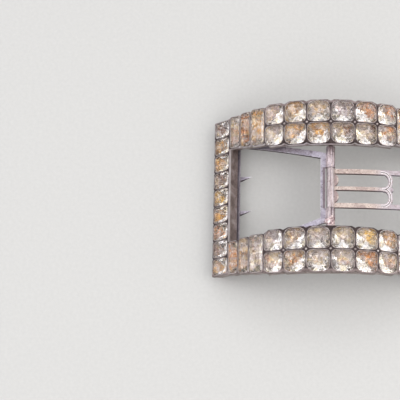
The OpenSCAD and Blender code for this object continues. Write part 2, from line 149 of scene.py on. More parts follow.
# How each stone's foil has aged: clean colour, stain colour, where the stain lies in the stone's own
# half widths (towards +X, towards +Y), and its reach in millimetres
FOIL_COLUMNS = ("clean", "stain", "towards_x", "towards_y", "reach")
FOILS = {
    "cushion_far_outer_1": ("lilac", "pink", -0.5, 0.4, 2.6),
    "cushion_far_outer_2": ("cream", "amber", -0.3, 0.4, 2.6),
    "cushion_far_outer_3": ("white", "beige", 0.0, 0.2, 2.2),
    "cushion_far_outer_4": ("lilac", "grey", 0.4, 0.5, 3.0),
    "cushion_far_outer_5": ("silver", "orange", 0.2, 0.4, 2.8),
    "cushion_far_outer_6": ("white", "orange", 0.7, 0.4, 2.4),
    "cushion_far_inner_1": ("cream", "grey", 0.5, 0.6, 2.4),
    "cushion_far_inner_2": ("cream", "amber", -0.3, 0.3, 2.8),
    "cushion_far_inner_3": ("white", "amber", 0.1, 0.5, 3.2),
    "cushion_far_inner_4": ("cream", "brown", 0.4, 0.6, 2.0),
    "cushion_far_inner_5": ("white", "brown", 0.7, 0.7, 1.6),
    "cushion_far_inner_6": ("white", "orange", 0.4, 0.5, 2.4),
    "cushion_near_inner_1": ("lilac", "grey", 0.4, 0.5, 2.4),
    "cushion_near_inner_2": ("beige", "brown", 0.1, 0.5, 2.0),
    "cushion_near_inner_3": ("white", "grey", 0.5, -0.5, 2.4),
    "cushion_near_inner_4": ("cream", "brown", 0.1, -0.7, 2.2),
    "cushion_near_inner_5": ("white", "yellow", 0.4, 0.4, 2.8),
    "cushion_near_inner_6": ("lilac", "amber", 0.4, 0.2, 2.8),
    "cushion_near_outer_1": ("cream", "pink", -0.4, -0.2, 2.4),
    "cushion_near_outer_2": ("cream", "orange", 0.1, 0.2, 2.4),
    "cushion_near_outer_3": ("white", "beige", -0.2, -0.4, 2.0),
    "cushion_near_outer_4": ("white", "pink", 0.2, -0.3, 2.0),
    "cushion_near_outer_5": ("silver", "orange", 0.4, 0.5, 2.8),
    "cushion_near_outer_6": ("grey", "pink", 0.4, -0.5, 2.6),
    "baguette_far_1": ("cream", "pink", 0.2, -0.3, 4.0),
    "baguette_far_2": ("lilac", "orange", -0.6, 0.3, 4.4),
    "baguette_far_3": ("silver", "amber", -0.6, 0.1, 5.2),
    "baguette_far_4": ("white", "amber", 0.5, 0.4, 3.4),
    "baguette_far_5": ("silver", "orange", 0.4, -0.4, 3.4),
    "baguette_far_6": ("cream", "amber", -0.3, 0.5, 3.6),
    "baguette_near_1": ("white", "orange", -0.6, 0.3, 3.6),
    "baguette_near_2": ("cream", "amber", 0.2, -0.6, 3.4),
    "baguette_near_3": ("white", "brown", -0.3, 0.7, 2.2),
    "baguette_near_4": ("silver", "amber", 0.4, -0.4, 3.4),
    "baguette_near_5": ("lilac", "orange", -0.4, 0.5, 3.2),
    "baguette_near_6": ("cream", "pink", 0.3, 0.3, 3.2),
}

# The end stones take their colours in turn, and their stains go round by an angle from one to the next
END_CLEAN = ("cream", "beige", "cream", "silver", "beige")
END_STAINS = ("amber", "brown", "orange", "amber", "yellow", "brown", "amber")
END_OFF_CENTRE = 0.4
END_TURN = 2.4
END_REACH = 3.2

# Noises: features per metre, or three such numbers for X, Y and Z, then detail, roughness, distortion
NOISES = {
    "dull_patches": (420.0, 5.0, 0.65, 0.8),
    "specks": (1700.0, 3.0, 0.7, 0.0),
    "scratches": ((900.0, 5200.0, 2600.0), 2.0, 0.6, 0.0),
    "tarnish": (330.0, 6.0, 0.65, 0.8),
    "runs": ((420.0, 260.0, 160.0), 5.0, 0.65, 0.4),
    "rubbed_lengths": (700.0, 4.0, 0.7, 0.0),
    "wear": (380.0, 6.0, 0.7, 1.0),
    # Streaks of painted reflection and shade along the knuckles and the barrel
    "rolled_sheen_streaks": ((2600.0, 110.0, 2600.0), 4.0, 0.7, 0.0),
    "crust": (1100.0, 4.0, 0.7, 0.0),
    "crust_edge": (500.0, 4.0, 0.7, 0.0),
    "glass_scuffs": (2400.0, 4.0, 0.7, 0.0),
    "glass_veins": (560.0, 2.0, 0.5, 2.0),
    "glass_ripple": (700.0, 1.0, 0.6, 0.0),
    "foil_crumple": (1000.0, 1.0, 0.5, 0.4),
    "foil_buckles": (330.0, 2.0, 0.5, 0.8),
    "foil_blots": (300.0, 2.0, 0.5, 1.0),
    "foil_grime": (620.0, 2.0, 0.5, 2.0),
    "foil_scuffs": (480.0, 2.0, 0.5, 2.5),
    "board_tooth": (900.0, 4.0, 0.6, 0.0),
}

# Fades of a value: where they start and end, and what they give there if that is not 0 and 1. Places
# are in metres
FADES = {
    "pits": (0.52, 0.64),
    "dull_patches": (0.3, 0.7),
    "rough_pits": (0.4, 0.75, 0.0, 0.22),
    "outer_border": (0.7 * MM, 1.5 * MM, 1.0, 0.0),
    # Where the painted highlight along the tops of the walls lies: within about a millimetre below the rim
    "wall_top_highlight": (0.9 * MM, 1.15 * MM, 1.0, 0.0),
    "rim": (0.72, 0.94),
    "worn_off": (0.45, 0.75),
    "top": (0.955, 0.985),
    "above_side": (0.2, 0.34),
    "crevice": (0.4, 0.85, 1.0, 0.0),
    "knuckles": (-1.9 * MM, -1.2 * MM),
    # Where the painted shadow along the chape's bar lies
    "bar_edge_shadow": (-2.75 * MM, -2.5 * MM),
    "between_knuckles": (7.15 * MM, 7.45 * MM, 0.85, 0.0),
    "crust": (0.7 * CRUST_REACH, 1.1 * CRUST_REACH, 1.0, 0.0),
    "barrel": (1.0 * MM, 1.3 * MM, 0.8, 0.0),
    # Where the lobes of painted shade beside the barrel lie
    "lobe_start": (1.3 * MM, 1.4 * MM),
    "lobe_end": (2.0 * MM, 2.4 * MM, 1.0, 0.0),
    "lobe_side": (2.1 * MM, 2.3 * MM, 0.75, 0.0),
    "points": (13 * MM, 19 * MM, 0.0, 0.6),
    "arch_start": (ARCH_X - 1.2 * MM, ARCH_X - 0.6 * MM),
    # Where the engraved line's painted shade and painted highlights lie
    "groove": (0.035, 0.075, 0.95, 0.0),
    "groove_highlight": (0.09, 0.18, 0.9, 0.0),
    "facet_edge": (0.993, 0.9994, 1.0, 0.0),
    "vein": (0.006, 0.018, 0.85, 0.0),
    "glass_roughness": (0.5, 0.75, 0.012, 0.16),
    "ragged_edge": (0.3, 0.7, -0.45, 0.45),
    "cream_blots": (0.5, 0.66, 0.0, 0.5),
    "lilac_buckles": (0.52, 0.62, 0.0, 0.4),
    "stain": (-0.2, 0.2),
    "brown_patches": (0.0, 0.12, 0.4, 0.0),
    "white_patches": (0.6, 0.7, 0.0, 0.7),
    "white_scuffs": (0.54, 0.60, 0.0, 0.85),
    "brown_grime": (0.63, 0.69, 0.0, 0.5),
    "cracks": (0.012, 0.03, 0.85, 0.0),
    "foil_roughness": (0.35, 0.7, 0.10, 0.26),
    "board_roughness": (0.3, 0.7, 0.75, 0.9),
}

# Colour ramps: (position, colour) stops
RAMPS = {
    # The seams' near black is painted shade between the crowns, with tarnish; the outer rim is painted
    # paler, as less shade falls there
    "seam_tarnish_and_shade": ((0.36, (0.065, 0.048, 0.048)), (0.66, (0.03, 0.02, 0.02))),
    "outer_rim": ((0.38, (0.30, 0.245, 0.24)), (0.64, (0.14, 0.105, 0.10))),
    # The walls: brown tarnish in runs, darkened as painted shade
    "wall": ((0.34, (0.15, 0.11, 0.10)), (0.5, (0.29, 0.225, 0.21)), (0.66, (0.46, 0.39, 0.38))),
    # A painted highlight along the tops of the walls
    "wall_top_highlight": ((0.35, (0.80, 0.75, 0.77)), (0.65, (0.62, 0.55, 0.55))),
    "lip": ((0.36, (0.74, 0.69, 0.69)), (0.52, (0.45, 0.39, 0.39)), (0.66, (0.22, 0.17, 0.17))),
    # Streaks of painted reflection and shade on what is rolled round the spindle
    "rolled": ((0.36, (0.08, 0.05, 0.055)), (0.44, (0.36, 0.29, 0.31)), (0.51, (0.68, 0.58, 0.57)),
               (0.57, (0.44, 0.38, 0.45)), (0.64, (0.12, 0.08, 0.09))),
    "crust": ((0.40, (0.93, 0.82, 0.79)), (0.50, (0.60, 0.45, 0.46)), (0.58, (0.16, 0.10, 0.11))),
    "glass": ((0.0, (0.56, 0.45, 0.38)), (0.07, (0.76, 0.68, 0.61)), (0.10, (0.98, 0.95, 1.0)),
              (0.34, (1.0, 0.99, 1.0)), (0.38, (1.0, 0.975, 0.985)), (0.78, (1.0, 0.965, 0.95)),
              (0.82, (1.0, 0.93, 0.74)), (1.0, (1.0, 0.87, 0.58))),
    "board": ((0.3, (0.49, 0.487, 0.48)), (0.7, (0.53, 0.526, 0.518))),
}

# Wrought metals: the clean and the stained top, the edge, worn and painted bright as a highlight, the side,
# darkened as painted shade, crevices, darkened with painted shade and tarnish, and then the colour of the
# pits, how strong they are, and the least roughness
METAL_COLUMNS = ("clean", "stained", "edge", "side", "crevice", "pit", "pits", "shine")
METALS = {
    "steel": ((0.52, 0.50, 0.50), (0.36, 0.31, 0.29), (0.6, 0.58, 0.58), (0.14, 0.11, 0.10),
              (0.10, 0.07, 0.06), (0.10, 0.07, 0.06), 0.5, 0.28),
    "chape_metal": ((0.49, 0.46, 0.53), (0.31, 0.28, 0.34), (0.90, 0.87, 0.92), (0.08, 0.06, 0.07),
                    (0.12, 0.09, 0.10), (0.12, 0.09, 0.10), 0.6, 0.3),
    "tongue_metal": ((0.66, 0.56, 0.505), (0.42, 0.33, 0.31), (0.84, 0.79, 0.77), (0.12, 0.08, 0.075),
                     (0.15, 0.10, 0.09), (0.24, 0.15, 0.13), 0.6, 0.32),
}

# Single colours of pits, stains, lines and cuts, and of painted shadow, shade and highlights
COLLET_PIT = (0.12, 0.085, 0.075)
LIP_PIT = (0.22, 0.17, 0.16)
# A painted shadow along the edge of the chape's bar, where it rolls down beside the slot
BAR_EDGE_SHADOW = (0.16, 0.12, 0.135)
# Painted shade in the lobes beside the tongue's barrel
LOBE_SHADE = (0.30, 0.22, 0.23)
POINT_LILAC = (0.42, 0.39, 0.47)
# The engraved line: painted highlights beside it and painted shade in it
GROOVE_HIGHLIGHT = (0.92, 0.88, 0.90)
GROOVE_SHADE = (0.10, 0.07, 0.08)
VEIN = (0.32, 0.20, 0.13)
FACET_EDGE = (0.26, 0.19, 0.15)

# The surround's brightness by the height of its direction, from the horizon up
SURROUND = ((0.0, 1.0), (0.29, 1.2), (0.35, 0.2), (0.43, 0.2), (0.51, 1.6), (0.80, 1.15), (0.87, 0.45),
            (0.93, 0.45), (0.98, 1.0))

# Softboxes: place and size in metres, power in watts, colour
SOFTBOXES = {
    "softbox_front": ((0.05, -0.70, 0.50), (1.10, 0.55), 2.0, (1.0, 1.0, 1.0)),
    "softbox_right": ((0.55, -0.10, 0.50), (0.45, 0.70), 1.8, (1.0, 0.96, 0.90)),
    "softbox_left": ((-0.60, 0.05, 0.45), (0.40, 0.70), 1.2, (0.94, 0.94, 1.0)),
    "softbox_back": ((-0.05, 0.55, 0.60), (0.90, 0.40), 0.5, (1.0, 1.0, 1.0)),
    "softbox_top": ((0.12, 0.02, 0.90), (0.70, 0.50), 1.0, (1.0, 1.0, 1.0)),
}
SOFTBOX_AIM = Vector((0, 0, 10 * MM))
FLOOR_HALF = 3.0


class Shading:
    """The nodes of a material or of the world. A value is a number, a triple or a node's output."""

    def __init__(self, owner):
        owner.use_nodes = True
        self.owner = owner
        self.tree = owner.node_tree
        self.coordinate = self.node("ShaderNodeTexCoord").outputs
        self.place = self.coordinate["Object"]
        self.normal = self.coordinate["Normal"]

    def give(self, socket, value):
        """Link an output to a socket, or set the socket to a value."""
        if isinstance(value, bpy.types.NodeSocket):
            self.tree.links.new(value, socket)
        elif isinstance(value, tuple) and len(socket.default_value) == 4:
            socket.default_value = (*value, 1.0)
        else:
            socket.default_value = value

    def node(self, kind, values=None, **settings):
        """A node with its settings and with the values of its inputs, by name or by number."""
        node = self.tree.nodes.new(kind)
        for key, value in settings.items():
            setattr(node, key, value)
        for key, value in (values or {}).items():
            self.give(node.inputs[key], value)
        return node

    def surface(self, name, value):
        """Give the shader one of its inputs."""
        self.give(self.tree.nodes["Principled BSDF"].inputs[name], value)

    def bump(self, height, distance=1.0, strength=1.0):
        """The height, times a distance in metres, as the shader's relief."""
        values = {"Height": height, "Distance": distance, "Strength": strength}
        self.surface("Normal", self.node("ShaderNodeBump", values).outputs["Normal"])

    def written(self, name, output):
        """What is written to the corners of the mesh under a name."""
        return self.node("ShaderNodeAttribute", attribute_name=name).outputs[output]

    def noise(self, name):
        """One of the noises, from 0 to 1."""
        scale, detail, roughness, distortion = NOISES[name]
        place = self.place
        if isinstance(scale, tuple):
            place = self.node("ShaderNodeMapping", {"Vector": place, "Scale": scale}).outputs["Vector"]
            scale = 1.0
        values = {"Vector": place, "Scale": scale, "Detail": detail, "Roughness": roughness,
                  "Distortion": distortion}
        return self.node("ShaderNodeTexNoise", values).outputs["Fac"]

    def ramp(self, factor, stops):
        """A colour ramp through (position, colour) stops."""
        node = self.node("ShaderNodeValToRGB", {"Fac": factor})
        elements = node.color_ramp.elements
        while len(elements) < len(stops):
            elements.new(0.5)
        for element, (position, colour) in zip(elements, stops):
            element.position = position
            element.color = (*colour, 1.0)
        return node.outputs["Color"]

    def spread(self, value, low, high, to_low=0.0, to_high=1.0, kind="SMOOTHSTEP"):
        """The value mapped from one range to another, clamped."""
        values = {"Value": value, "From Min": low, "From Max": high, "To Min": to_low, "To Max": to_high}
        return self.node("ShaderNodeMapRange", values, interpolation_type=kind).outputs["Result"]

    def fade(self, name, value, *results):
        """One of the fades, of a value. Results that are given here take the place of 0 and 1."""
        return self.spread(value, *FADES[name], *results)

    def mix(self, factor, first, second):
        """One colour over another."""
        return self.node("ShaderNodeMix", {0: factor, 6: first, 7: second}, data_type="RGBA").outputs[2]

    def maths(self, operation, first, second=0.0):
        """Arithmetic on two values."""
        return self.node("ShaderNodeMath", {0: first, 1: second}, operation=operation).outputs[0]

    def plus(self, first, second):
        return self.maths("ADD", first, second)

    def minus(self, first, second):
        return self.maths("SUBTRACT", first, second)

    def times(self, first, second):
        return self.maths("MULTIPLY", first, second)

    def size(self, value):
        """The value without its sign."""
        return self.maths("ABSOLUTE", value)

    def vector(self, operation, first, second=(0.0, 0.0, 0.0), output="Vector"):
        """Arithmetic on two vectors."""
        return self.node("ShaderNodeVectorMath", {0: first, 1: second}, operation=operation).outputs[output]

    def along(self, axis):
        """How far a place lies along X, Y or Z."""
        return self.node("ShaderNodeSeparateXYZ", {"Vector": self.place}).outputs[axis]

    def cells(self, size, waver, detail):
        """Angular cells of about one size with wavering borders: the warped place, and their outputs."""
        values = {"Vector": self.place, "Scale": waver / size, "Detail": detail}
        drift = self.node("ShaderNodeTexNoise", values).outputs["Color"]
        shift = self.vector("MULTIPLY", self.vector("SUBTRACT", drift, (0.5, 0.5, 0.5)), (size, size, size))
        warped = self.vector("ADD", self.place, shift)
        return warped, self.node("ShaderNodeTexVoronoi", {"Vector": warped, "Scale": 1.0 / size}).outputs

    def patches(self, size):
        """A value that differs from one patch to the next."""
        _, cells = self.cells(size, waver=1.6, detail=2.0)
        return self.node("ShaderNodeSeparateXYZ", {"Vector": cells["Color"]}).outputs["X"]

    def folds(self, size, slope):
        """The height of a crumpled sheet's flat folds, each tilted its own way by at most the slope."""
        warped, cells = self.cells(size, waver=1.2, detail=1.0)
        off_centre = self.vector("SUBTRACT", warped, cells["Position"])
        tilt = self.vector("SUBTRACT", cells["Color"], (0.5, 0.5, 0.5))
        return self.times(self.vector("DOT_PRODUCT", off_centre, tilt, "Value"), 2.0 * slope)


def new_look(name):
    """The nodes of a new material."""
    return Shading(bpy.data.materials.new(name))


def out_of_bow(look):
    """How far a surface faces out of the bow, from -1 to 1, and its distance from the bow's axis."""
    across = look.vector("MULTIPLY", look.place, (1.0, 0.0, 1.0))
    spoke = look.vector("SUBTRACT", across, (0.0, 0.0, AXIS_Z))
    radius = look.vector("LENGTH", spoke, output="Value")
    return look.vector("DOT_PRODUCT", look.vector("NORMALIZE", spoke), look.normal, "Value"), radius


def outer_border(look):
    """1 along the outer edges of the two rails, which draw in towards the ends of the bow."""
    inward = look.times(look.maths("POWER", look.along("X"), 2.0), RAIL_DRAW)
    outer = look.minus(RAIL_HALF_W, inward)
    return look.fade("outer_border", look.minus(outer, look.size(look.along("Y"))))


def pitted(look, colour, pit, pits, shine):
    """Finish an old metal: dark pits in its colour, dull patches, fine scratches and a pitted relief."""
    specks = look.noise("specks")
    look.surface("Base Color", look.mix(look.fade("pits", specks, 0.0, pits), colour, pit))
    dull = look.fade("dull_patches", look.noise("dull_patches"), shine, shine + DULLING)
    look.surface("Roughness", look.plus(dull, look.fade("rough_pits", specks)))
    relief = look.plus(look.times(specks, 1.0 + pits), look.times(look.noise("scratches"), SCRATCHES))
    look.bump(relief, METAL_RELIEF, METAL_RELIEF_STRENGTH)


def silver_material():
    """The collets: painted shade with tarnish in the seams between the crowns, brown walls with runs of
    tarnish that are darkened as painted shade, a dull outer rim painted paler where less shade falls, and a
    pale edge of painted highlight along the walls that face the window."""
    look = new_look("silver")
    facing, radius = out_of_bow(look)
    tarnish = look.noise("tarnish")
    # Painted shade with tarnish: the rim tops in the seams between the crowns are near black, and paler
    # along the rails' open outer border, where less shade falls
    border = outer_border(look)
    outer_rim = look.ramp(tarnish, RAMPS["outer_rim"])
    rim = look.mix(border, look.ramp(tarnish, RAMPS["seam_tarnish_and_shade"]), outer_rim)
    # A painted highlight: a pale band along the tops of the walls, with the outer rim's colour along the
    # outer border
    edge = look.mix(border, look.ramp(tarnish, RAMPS["wall_top_highlight"]), outer_rim)
    near_rim = look.fade("wall_top_highlight", look.minus(BOW_R, radius))
    # The walls: brown tarnish in runs, darkened as painted shade
    wall = look.mix(near_rim, look.ramp(look.noise("runs"), RAMPS["wall"]), edge)
    look.surface("Metallic", 0.8)
    pitted(look, look.mix(look.fade("rim", facing), wall, rim), COLLET_PIT, pits=0.3, shine=0.26)
    return look.owner


def burnished_material():
    """Silver rubbed over a stone's edge: grey, with dark tarnish in short lengths."""
    look = new_look("burnished")
    look.surface("Metallic", 1.0)
    colour = look.ramp(look.noise("rubbed_lengths"), RAMPS["lip"])
    pitted(look, colour, LIP_PIT, pits=0.3, shine=0.2)
    return look.owner


def sheet_facing(look, start, slopes):
    """1 where a surface faces as the top of its bent sheet does."""
    tilt = start
    for low, high, rise in slopes:
        tilt = look.plus(look.spread(look.along("X"), low * MM, high * MM, 0.0, rise, "LINEAR"), tilt)
    upright = look.maths("SQRT", look.minus(1.0, look.maths("POWER", tilt, 2.0)))
    top = look.node("ShaderNodeCombineXYZ", {"X": tilt, "Z": upright}).outputs["Vector"]
    return look.vector("DOT_PRODUCT", look.normal, top, "Value")


def worn_metal(name):
    """A wrought metal: patches of two colours on top, edges worn and painted bright as highlights, sides
    darkened as painted shade, and crevices darker still with painted shade and tarnish.
    The colour is returned with the look and with the metal's row."""
    look = new_look(name)
    row = dict(zip(METAL_COLUMNS, METALS[name]))
    if name in SHEETS:
        upward = sheet_facing(look, *SHEETS[name])
    else:
        upward = look.vector("DOT_PRODUCT", look.normal, (0.0, 0.0, 1.0), "Value")
    wear = look.noise("wear")
    top = look.ramp(wear, ((0.38, row["clean"]), (0.62, row["stained"])))
    # Painted highlight: edges that turn away from the top are painted bright, broken by patches of wear
    edge = look.mix(look.fade("worn_off", wear), row["edge"], row["stained"])
    colour = look.mix(look.fade("top", upward), edge, top)
    # Painted shade: sides that turn further away from the top are painted dark
    colour = look.mix(look.fade("above_side", upward), row["side"], colour)
    # Painted shade with tarnish: darker where ambient occlusion finds another surface near
    open_air = look.node("ShaderNodeAmbientOcclusion", {"Distance": CREVICE_REACH}, samples=8)
    colour = look.mix(look.fade("crevice", open_air.outputs["AO"]), colour, row["crevice"])
    look.surface("Metallic", 0.85)
    return look, row, colour


def finish_worn(look, row, colour):
    """Pit a wrought metal as its row says, and hand over its material."""
    pitted(look, colour, row["pit"], row["pits"], row["shine"])
    return look.owner


def spindle_material():
    """The spindle: grey steel with crevices darkened with painted shade and tarnish."""
    return finish_worn(*worn_metal("steel"))


def crusted(look):
    """1 round the corroded place and 0 beyond its crust, which ends in a ragged edge."""
    away = look.vector("DISTANCE", look.place, CORRODED, "Value")
    uneven = look.times(look.minus(look.noise("crust_edge"), 0.5), CRUST_RAGGED)
    return look.fade("crust", look.plus(away, uneven))


def rolled_colour(look):
    """Pinkish cream with dark and lilac streaks along Y, painted reflection and shade, for what is rolled
    round the spindle.
    """
    return look.ramp(look.noise("rolled_sheen_streaks"), RAMPS["rolled"])


def chape_material():
    """The chape: blue-grey and lilac, a painted shadow along the edge of its bar between the knuckles,
    knuckles streaked with painted reflection and shade, and one of them corroded to a pinkish crust.
    """
    look, row, colour = worn_metal("chape_metal")
    between = look.fade("between_knuckles", look.size(look.along("Y")))
    # A painted shadow along the edge of the bar, between the knuckles
    colour = look.mix(look.times(look.fade("bar_edge_shadow", look.along("X")), between), colour, BAR_EDGE_SHADOW)
    # The knuckles: streaks of painted reflection and shade
    colour = look.mix(look.fade("knuckles", look.along("X")), colour, rolled_colour(look))
    crust = look.ramp(look.noise("crust"), RAMPS["crust"])
    return finish_worn(look, row, look.mix(crusted(look), colour, crust))


def lobes(look):
    """Where the lobes at the prongs' roots are, in line with the arches: painted shade beside the barrel."""
    off_middle = look.size(look.minus(look.size(look.along("Y")), ARCH_Y))
    inside = look.times(look.fade("lobe_side", off_middle), look.fade("lobe_end", look.along("X")))
    return look.times(inside, look.fade("lobe_start", look.along("X")))


def off_arch(look):
    """How far a place is from the line along the middle of the tongue's arches, as a share of their size."""
    run = look.maths("MAXIMUM", look.minus(look.along("X"), ARCH_X), 0.0)
    run = look.maths("DIVIDE", run, ARCH_HALF[0])
    rise = look.maths("DIVIDE", look.minus(look.size(look.along("Y")), ARCH_Y), ARCH_HALF[1])
    squares = look.plus(look.maths("POWER", run, 2.0), look.times(rise, rise))
    return look.size(look.minus(look.maths("SQRT", squares), 1.0))


def tongue_material():
    """The tongue: pinkish cream with brown pits, a barrel streaked with painted reflection and shade, lobes
    of painted shade beside the barrel, a line engraved along its arches and painted as shade between painted
    highlights, and lilac towards its points."""
    look, row, colour = worn_metal("tongue_metal")
    # The barrel: streaks of painted reflection and shade
    colour = look.mix(look.fade("barrel", look.along("X")), colour, rolled_colour(look))
    # Painted shade in the lobes beside the barrel
    colour = look.mix(lobes(look), colour, LOBE_SHADE)
    colour = look.mix(look.fade("points", look.along("X")), colour, POINT_LILAC)
    groove = off_arch(look)
    on_arch = look.fade("arch_start", look.along("X"))
    # The engraved line: painted highlights beside it and painted shade in it
    colour = look.mix(look.times(look.fade("groove_highlight", groove), on_arch), colour, GROOVE_HIGHLIGHT)
    colour = look.mix(look.times(look.fade("groove", groove), on_arch), colour, GROOVE_SHADE)
    return finish_worn(look, row, colour)


def at_edges(look):
    """1 along the edges between facets and 0 on the facets."""
    rounded = look.node("ShaderNodeBevel", {"Radius": FACET_EDGE_W}, samples=4).outputs["Normal"]
    flat = look.node("ShaderNodeNewGeometry").outputs["Normal"]
    return look.fade("facet_edge", look.vector("DOT_PRODUCT", rounded, flat, "Value"))


def paste_material():
    """Lead glass: clear, in faint patches of tint, with brown veins, darker facet edges, fine scuffs and a
    slightly uneven surface."""
    look = new_look("paste")
    colour = look.ramp(look.patches(GLASS_PATCH), RAMPS["glass"])
    off_vein = look.size(look.minus(look.noise("glass_veins"), 0.5))
    colour = look.mix(look.fade("vein", off_vein), colour, VEIN)
    colour = look.mix(look.times(at_edges(look), FACET_EDGE_DARKENING), colour, FACET_EDGE)
    look.surface("Base Color", colour)
    look.surface("Transmission Weight", 0.97)
    look.surface("IOR", 1.45)
    look.surface("Roughness", look.fade("glass_roughness", look.noise("glass_scuffs")))
    ripple = look.times(look.noise("glass_ripple"), GLASS_RIPPLE)
    look.bump(look.plus(ripple, look.folds(*GLASS_FOLDS)))
    return look.owner


def stained_foil(look):
    """The foil's own colour, cream in blots and lilac where it has buckled, with the stone's stain."""
    clean = look.written("clean", "Color")
    stain = look.written("stain", "Color")
    centre = look.written("centre", "Vector")
    reach = look.written("reach", "Fac")
    blots = look.noise("foil_blots")
    away = look.vector("DISTANCE", look.place, centre, "Value")
    nearness = look.minus(1.0, look.maths("DIVIDE", away, reach))
    ragged = look.plus(nearness, look.fade("ragged_edge", blots))
    colour = look.mix(look.fade("cream_blots", blots), clean, PALETTE["cream"])
    colour = look.mix(look.fade("lilac_buckles", look.noise("foil_buckles")), colour, PALETTE["lilac"])
    return look.mix(look.fade("stain", ragged), colour, stain)


def foil_material():
    """Silvered foil behind the stones: crumpled and stained, with white scuffs, brown grime and cracks."""
    look = new_look("foil")
    colour = stained_foil(look)
    patch = look.patches(FOIL_PATCH)
    scuffs = look.noise("foil_scuffs")
    grime = look.noise("foil_grime")
    colour = look.mix(look.fade("brown_patches", patch), colour, PALETTE["brown"])
    colour = look.mix(look.fade("white_patches", patch), colour, PALETTE["white"])
    colour = look.mix(look.fade("white_scuffs", scuffs), colour, PALETTE["white"])
    colour = look.mix(look.fade("brown_grime", grime), colour, PALETTE["brown"])
    off_crack = look.size(look.minus(scuffs, 0.5))
    colour = look.mix(look.fade("cracks", off_crack), colour, PALETTE["brown"])
    look.surface("Base Color", colour)
    look.surface("Metallic", 0.6)
    look.surface("Roughness", look.fade("foil_roughness", grime))
    crumple = look.times(look.noise("foil_crumple"), FOIL_CRUMPLE)
    buckles = look.times(look.noise("foil_buckles"), FOIL_BUCKLES)
    dents = look.times(look.plus(crumple, buckles), FOIL_DENT)
    look.bump(look.plus(dents, look.folds(*FOIL_FOLDS)))
    return look.owner


def floor_material():
    """A pale matt board with a faint tooth."""
    look = new_look("floor")
    tooth = look.noise("board_tooth")
    look.surface("Base Color", look.ramp(tooth, RAMPS["board"]))
    look.surface("Roughness", look.fade("board_roughness", tooth))
    look.bump(tooth, distance=0.1 * MM, strength=0.2)
    return look.owner


def use_material(obj, material):
    """Give an object one material."""
    obj.data.materials.clear()
    obj.data.materials.append(material)


def in_scene(name, data):
    """A new object of the scene."""
    obj = bpy.data.objects.new(name, data)
    bpy.context.scene.collection.objects.link(obj)
    return obj


def outward(point):
    """The bow's outward direction at a point."""
    return Vector((point.x, 0, point.z - AXIS_Z)).normalized()


def circle(sides):
    """The cosine and sine of each corner of a regular polygon."""
    angles = [math.tau * k / sides for k in range(sides)]
    return [(math.cos(angle), math.sin(angle)) for angle in angles]


def welded(name):
    """A CAD node's mesh with its corners joined, as a bmesh."""
    mesh = bmesh.new()
    mesh.from_mesh(NODES[name].data)
    bmesh.ops.remove_doubles(mesh, verts=mesh.verts, dist=WELD)
    mesh.normal_update()
    return mesh


def islands(mesh):
    """The loose solids of a bmesh, each a list of faces."""
    seen = set()
    found = []
    for start in mesh.faces:
        if start in seen:
            continue
        seen.add(start)
        solid = [start]
        for face in solid:
            beside = [other for edge in face.edges for other in edge.link_faces if other not in seen]
            seen.update(beside)
            solid.extend(dict.fromkeys(beside))
        found.append(solid)
    return found


def in_crown(face):
    """Whether a stone's face belongs to its crown."""
    return face.normal.dot(outward(face.calc_center_median())) > CROWN_FACING


def girdle(faces):
    """The corners of a stone's girdle, in order round its crown."""
    crown = [face for face in faces if in_crown(face)]
    rim = [edge for face in crown for edge in face.edges if sum(f in crown for f in edge.link_faces) == 1]
    loop = [rim[0].verts[0], rim[0].verts[1]]
    used = {rim[0]}
    while len(used) < len(rim):
        following = next(edge for edge in loop[-1].link_edges if edge in rim and edge not in used)
        used.add(following)
        loop.append(following.other_vert(loop[-1]))
    return [vert.co.copy() for vert in loop[:-1]]


def lip_rings(loop):
    """Rings of a burnished lip's section, one for each corner of a stone's girdle."""
    middle = sum(loop, Vector()) / len(loop)
    up = outward(middle)
    rings = []
    for index, corner in enumerate(loop):
        run = (loop[(index + 1) % len(loop)] - loop[index - 1]).normalized()
        side = run.cross(up).normalized()
        if side.dot(corner - middle) < 0:
            side = -side
        centre = corner + side * LIP_OUT + up * LIP_UP
        rings.append([centre + side * LIP_HALF_W * c + up * LIP_HALF_H * s for c, s in circle(LIP_SIDES)])
    return rings


def skin(mesh, rows):
    """Faces between each two rows of corners, where every row is a closed ring."""
    for here, after in zip(rows, rows[1:]):
        for k in range(len(here)):
            j = (k + 1) % len(here)
            mesh.faces.new((here[k], here[j], after[j], after[k]))


def new_piece(name, mesh, material):
    """A piece from a bmesh, riding on the frame."""
    data = bpy.data.meshes.new(name)
    mesh.to_mesh(data)
    mesh.free()
    piece = in_scene(name, data)
    use_material(piece, material)
    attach(piece, "frame")
    return piece


def silver_piece(name, mesh, material):
    """A smooth piece of the collets' silver."""
    bmesh.ops.recalc_face_normals(mesh, faces=mesh.faces)
    for face in mesh.faces:
        face.smooth = True
    new_piece(name, mesh, material)


def collet_lips(material):
    """The silver rubbed over the edge of every stone, as one piece."""
    lips = bmesh.new()
    for name in STONES:
        stones = welded(name)
        for faces in islands(stones):
            rows = [[lips.verts.new(point) for point in ring] for ring in lip_rings(girdle(faces))]
            skin(lips, rows + rows[:1])
        stones.free()
    silver_piece("collet_lips", lips, material)


def grain(mesh, centre):
    """A small solder grain: a low dome of rings, closed above and below."""
    up = outward(centre)
    side = Vector((0, 1, 0))
    run = side.cross(up)
    rows = []
    for share, height in GRAIN_RINGS:
        spokes = [share * (c * run + s * side) + height * up for c, s in circle(GRAIN_SIDES)]
        rows.append([mesh.verts.new(centre + GRAIN_R * spoke) for spoke in spokes])
    skin(mesh, rows)
    mesh.faces.new(rows[-1])
    mesh.faces.new(list(reversed(rows[0])))


def middle_of(name):
    """The middle of a CAD node's box."""
    low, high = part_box(name)
    return (Vector(low) + Vector(high)) / 2


